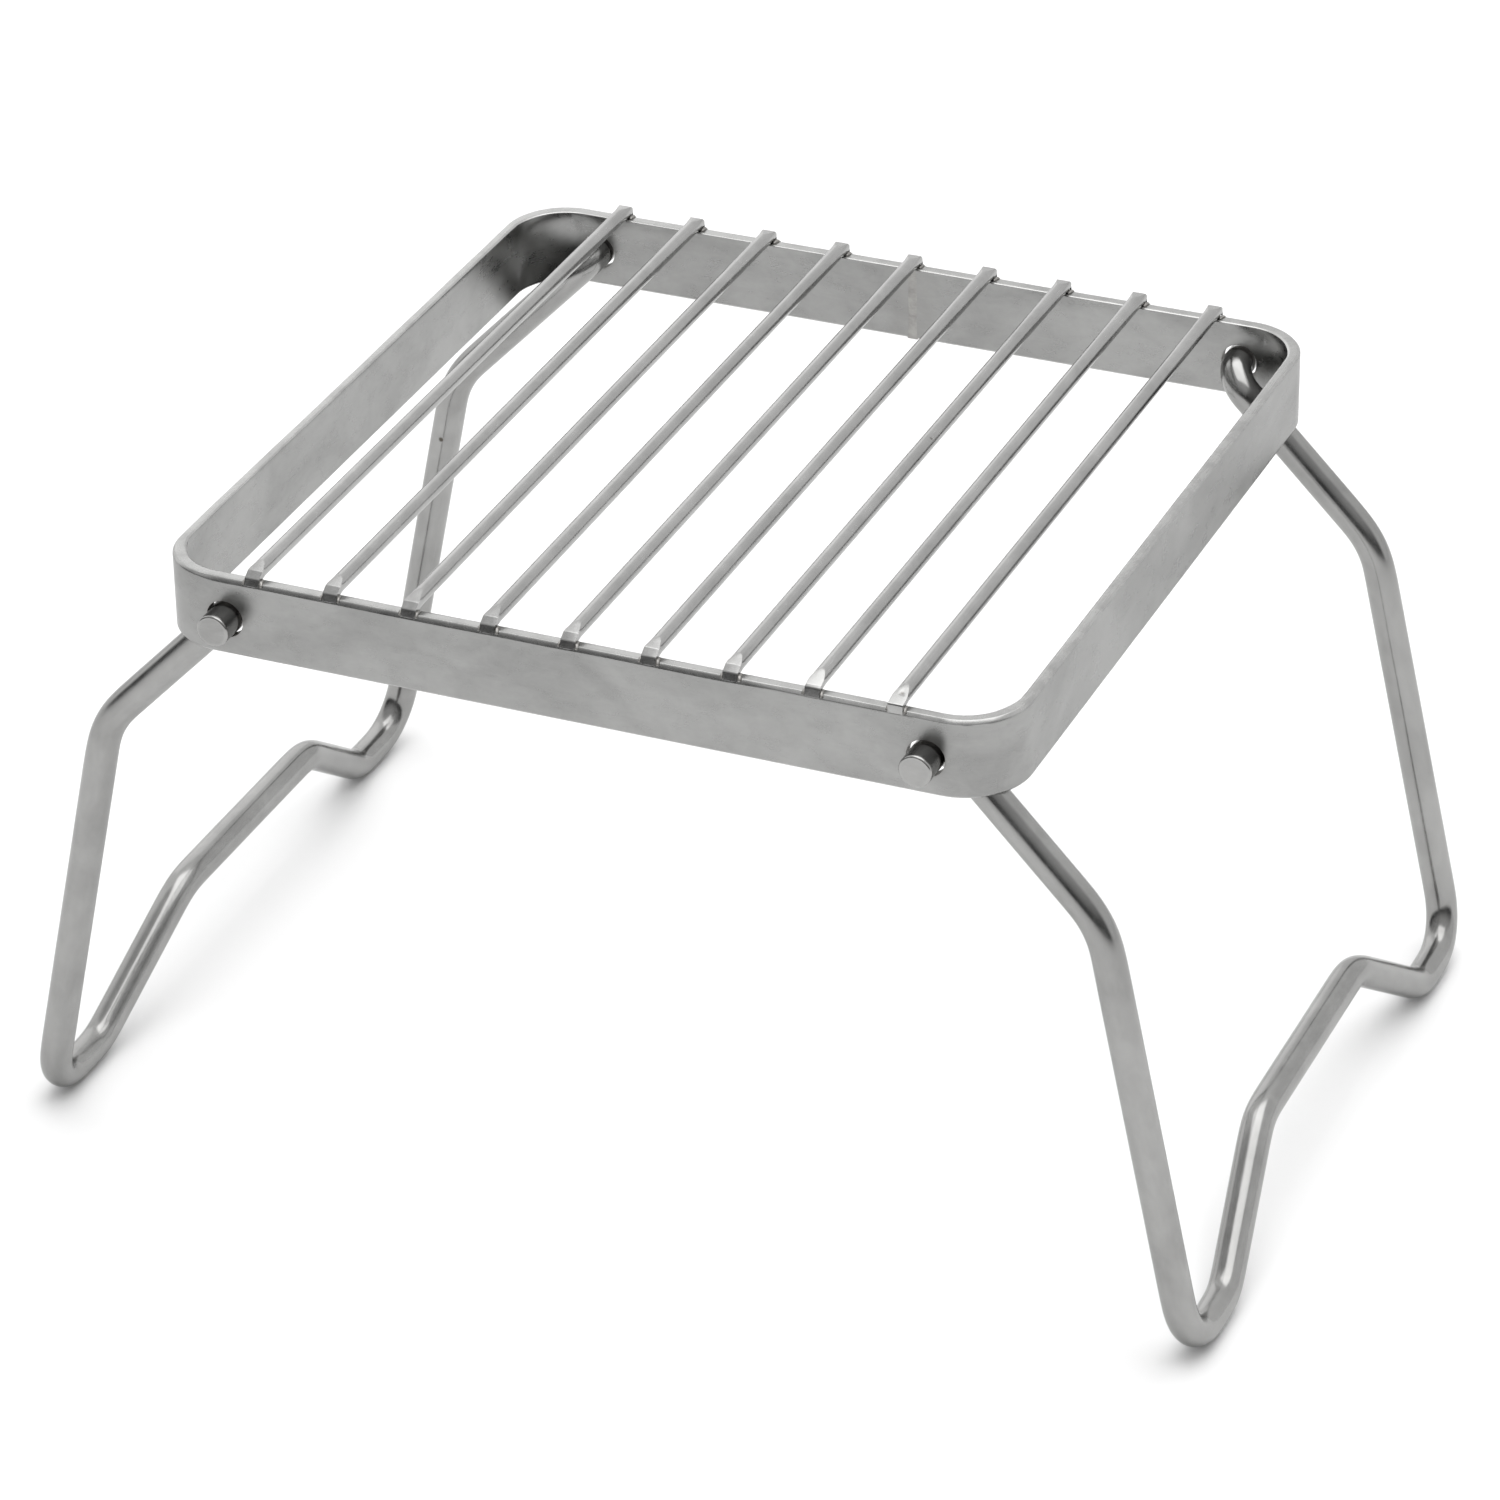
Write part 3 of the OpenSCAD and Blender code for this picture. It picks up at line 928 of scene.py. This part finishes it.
def make_floor():
    cuts = FLOOR_CUTS
    row = cuts + 1
    verts = [(lerp(-FLOOR_HALF, FLOOR_HALF, i / cuts), lerp(-FLOOR_HALF, FLOOR_HALF, j / cuts), 0.0)
             for j in range(row) for i in range(row)]
    faces = [(j * row + i, j * row + i + 1, (j + 1) * row + i + 1, (j + 1) * row + i)
             for j in range(cuts) for i in range(cuts)]
    mesh = bpy.data.meshes.new("studio_floor")
    mesh.from_pydata(verts, [], faces)
    floor = bpy.data.objects.new("studio_floor", mesh)
    bpy.context.scene.collection.objects.link(floor)
    mat = bpy.data.materials.new("studio_floor_paper")
    mat.use_nodes = True
    nodes = Nodes(mat.node_tree)
    grain = nodes.add("ShaderNodeTexNoise", {"Scale": 3.0})
    colour = nodes.blend(grain.outputs["Fac"], (0.88, 0.88, 0.88, 1), (0.90, 0.90, 0.90, 1))
    inputs = {"Base Color": colour, "Roughness": 0.95, "Specular IOR Level": 0.0}
    shader = nodes.add("ShaderNodeBsdfPrincipled", inputs)
    nodes.add("ShaderNodeOutputMaterial", {"Surface": shader.outputs[0]})
    mesh.materials.append(mat)


make_floor()


# ---- light ----

# How bright the wall behind the object is, at its two ends
WALL_LEFT, WALL_RIGHT = 1.20, 0.95
# (height as the sine of the elevation, brightness) in front of the object
FRONT_SKY = [(0.0, 0.06), (0.14, 0.07), (0.22, 0.12), (0.34, 0.34), (0.5, 0.5), (0.62, 0.62), (0.8, 0.58),
             (1.0, 0.7)]
SEEN_BACKDROP = (0.97, 0.97, 0.97, 1)   # what the camera itself sees behind the floor


def make_world():
    """A photographer's sweep: a bright wall behind, dark low surroundings in front, grey above them."""
    world = bpy.data.worlds.new("studio")
    bpy.context.scene.world = world
    world.use_nodes = True
    nodes = Nodes(world.node_tree)
    coord = nodes.add("ShaderNodeTexCoord")
    split = nodes.add("ShaderNodeSeparateXYZ", {0: coord.outputs["Generated"]}).outputs
    flat = nodes.add("ShaderNodeCombineXYZ", {"X": split["X"], "Y": split["Y"], "Z": 0.12})
    length = nodes.add("ShaderNodeVectorMath", {0: flat.outputs[0]}, operation="LENGTH")
    share = nodes.math("DIVIDE", split["Y"], length.outputs["Value"])
    inputs = {"Value": share, "From Min": -0.16, "From Max": 0.16}
    behind = nodes.add("ShaderNodeMapRange", inputs, interpolation_type="SMOOTHSTEP")
    wall = nodes.remap(split["X"], -0.6, 0.3, WALL_LEFT, WALL_RIGHT)
    ramp = nodes.add("ShaderNodeValToRGB", {"Fac": split["Z"]})
    elements = ramp.color_ramp.elements
    while len(elements) < len(FRONT_SKY):
        elements.new(0.5)
    for element, (at, value) in zip(elements, FRONT_SKY):
        element.position = at
        element.color = (value, value, value, 1)
    around = nodes.blend(behind.outputs["Result"], ramp.outputs["Color"], wall)
    ray = nodes.add("ShaderNodeLightPath")
    seen = nodes.blend(ray.outputs["Is Camera Ray"], around, SEEN_BACKDROP)
    back = nodes.add("ShaderNodeBackground", {"Color": seen})
    nodes.add("ShaderNodeOutputWorld", {"Surface": back.outputs[0]})


def panel_power(radiance, size):
    """The power that gives a panel its radiance."""
    return radiance * math.pi * size[0] * size[1]


def area_light(name, place, aim, size, power, glossy=True):
    data = bpy.data.lights.new(name, "AREA")
    data.shape = "RECTANGLE"
    data.size, data.size_y = size
    data.energy = power
    lamp = bpy.data.objects.new(name, data)
    bpy.context.scene.collection.objects.link(lamp)
    lamp.location = place
    lamp.rotation_mode = "QUATERNION"
    lamp.rotation_quaternion = (Vector(aim) - Vector(place)).to_track_quat("-Z", "Y")
    lamp.visible_glossy = glossy
    lamp.visible_camera = False


SOFTBOX_SIZE = (0.84, 0.80)
CARD_SIZE = (0.52, 0.56)
WASH_SIZE = (2.6, 2.6)

make_world()
area_light("overhead_softbox", (0.12, 0.02, 0.86), (0.08, 0.0, 0.0), SOFTBOX_SIZE,
           panel_power(1.6, SOFTBOX_SIZE))
area_light("left_rear_card", (-0.50, 0.55, 0.34), (-0.1, 0.0, 0.12), CARD_SIZE, panel_power(0.36, CARD_SIZE))
area_light("floor_wash", (0.0, -0.30, 2.2), (0.0, -0.2, 0.0), WASH_SIZE, 17.0, glossy=False)


# ---- camera ----

# The photograph's viewing angle, as fitted to the object's outlines
AZIMUTH, ELEVATION, ROLL = math.radians(23.955), math.radians(30.0), math.radians(-1.184)
DISTANCE = 1.16917
TARGET = Vector((-0.004532, -0.010541, 0.065722))
LENS = 153.352
SHIFT_X, SHIFT_Y = 0.02644, -0.00295


def make_camera():
    back = Vector((math.sin(AZIMUTH) * math.cos(ELEVATION), -math.cos(AZIMUTH) * math.cos(ELEVATION),
                   math.sin(ELEVATION)))
    right = (-back).cross(Vector((0, 0, 1))).normalized()
    up = right.cross(-back)
    right, up = (right * math.cos(ROLL) + up * math.sin(ROLL),
                 up * math.cos(ROLL) - right * math.sin(ROLL))
    data = bpy.data.cameras.new("photo_view")
    data.sensor_width = 36.0
    data.lens = LENS
    data.shift_x, data.shift_y = SHIFT_X, SHIFT_Y
    data.clip_start, data.clip_end = 0.05, 20
    camera = bpy.data.objects.new("photo_view", data)
    bpy.context.scene.collection.objects.link(camera)
    turn = Matrix((right, up, back)).transposed().to_4x4()
    camera.matrix_world = Matrix.Translation(TARGET + back * DISTANCE) @ turn
    bpy.context.scene.camera = camera


make_camera()
bpy.context.scene.view_settings.view_transform = "Standard"
bpy.context.scene.view_settings.look = "None"
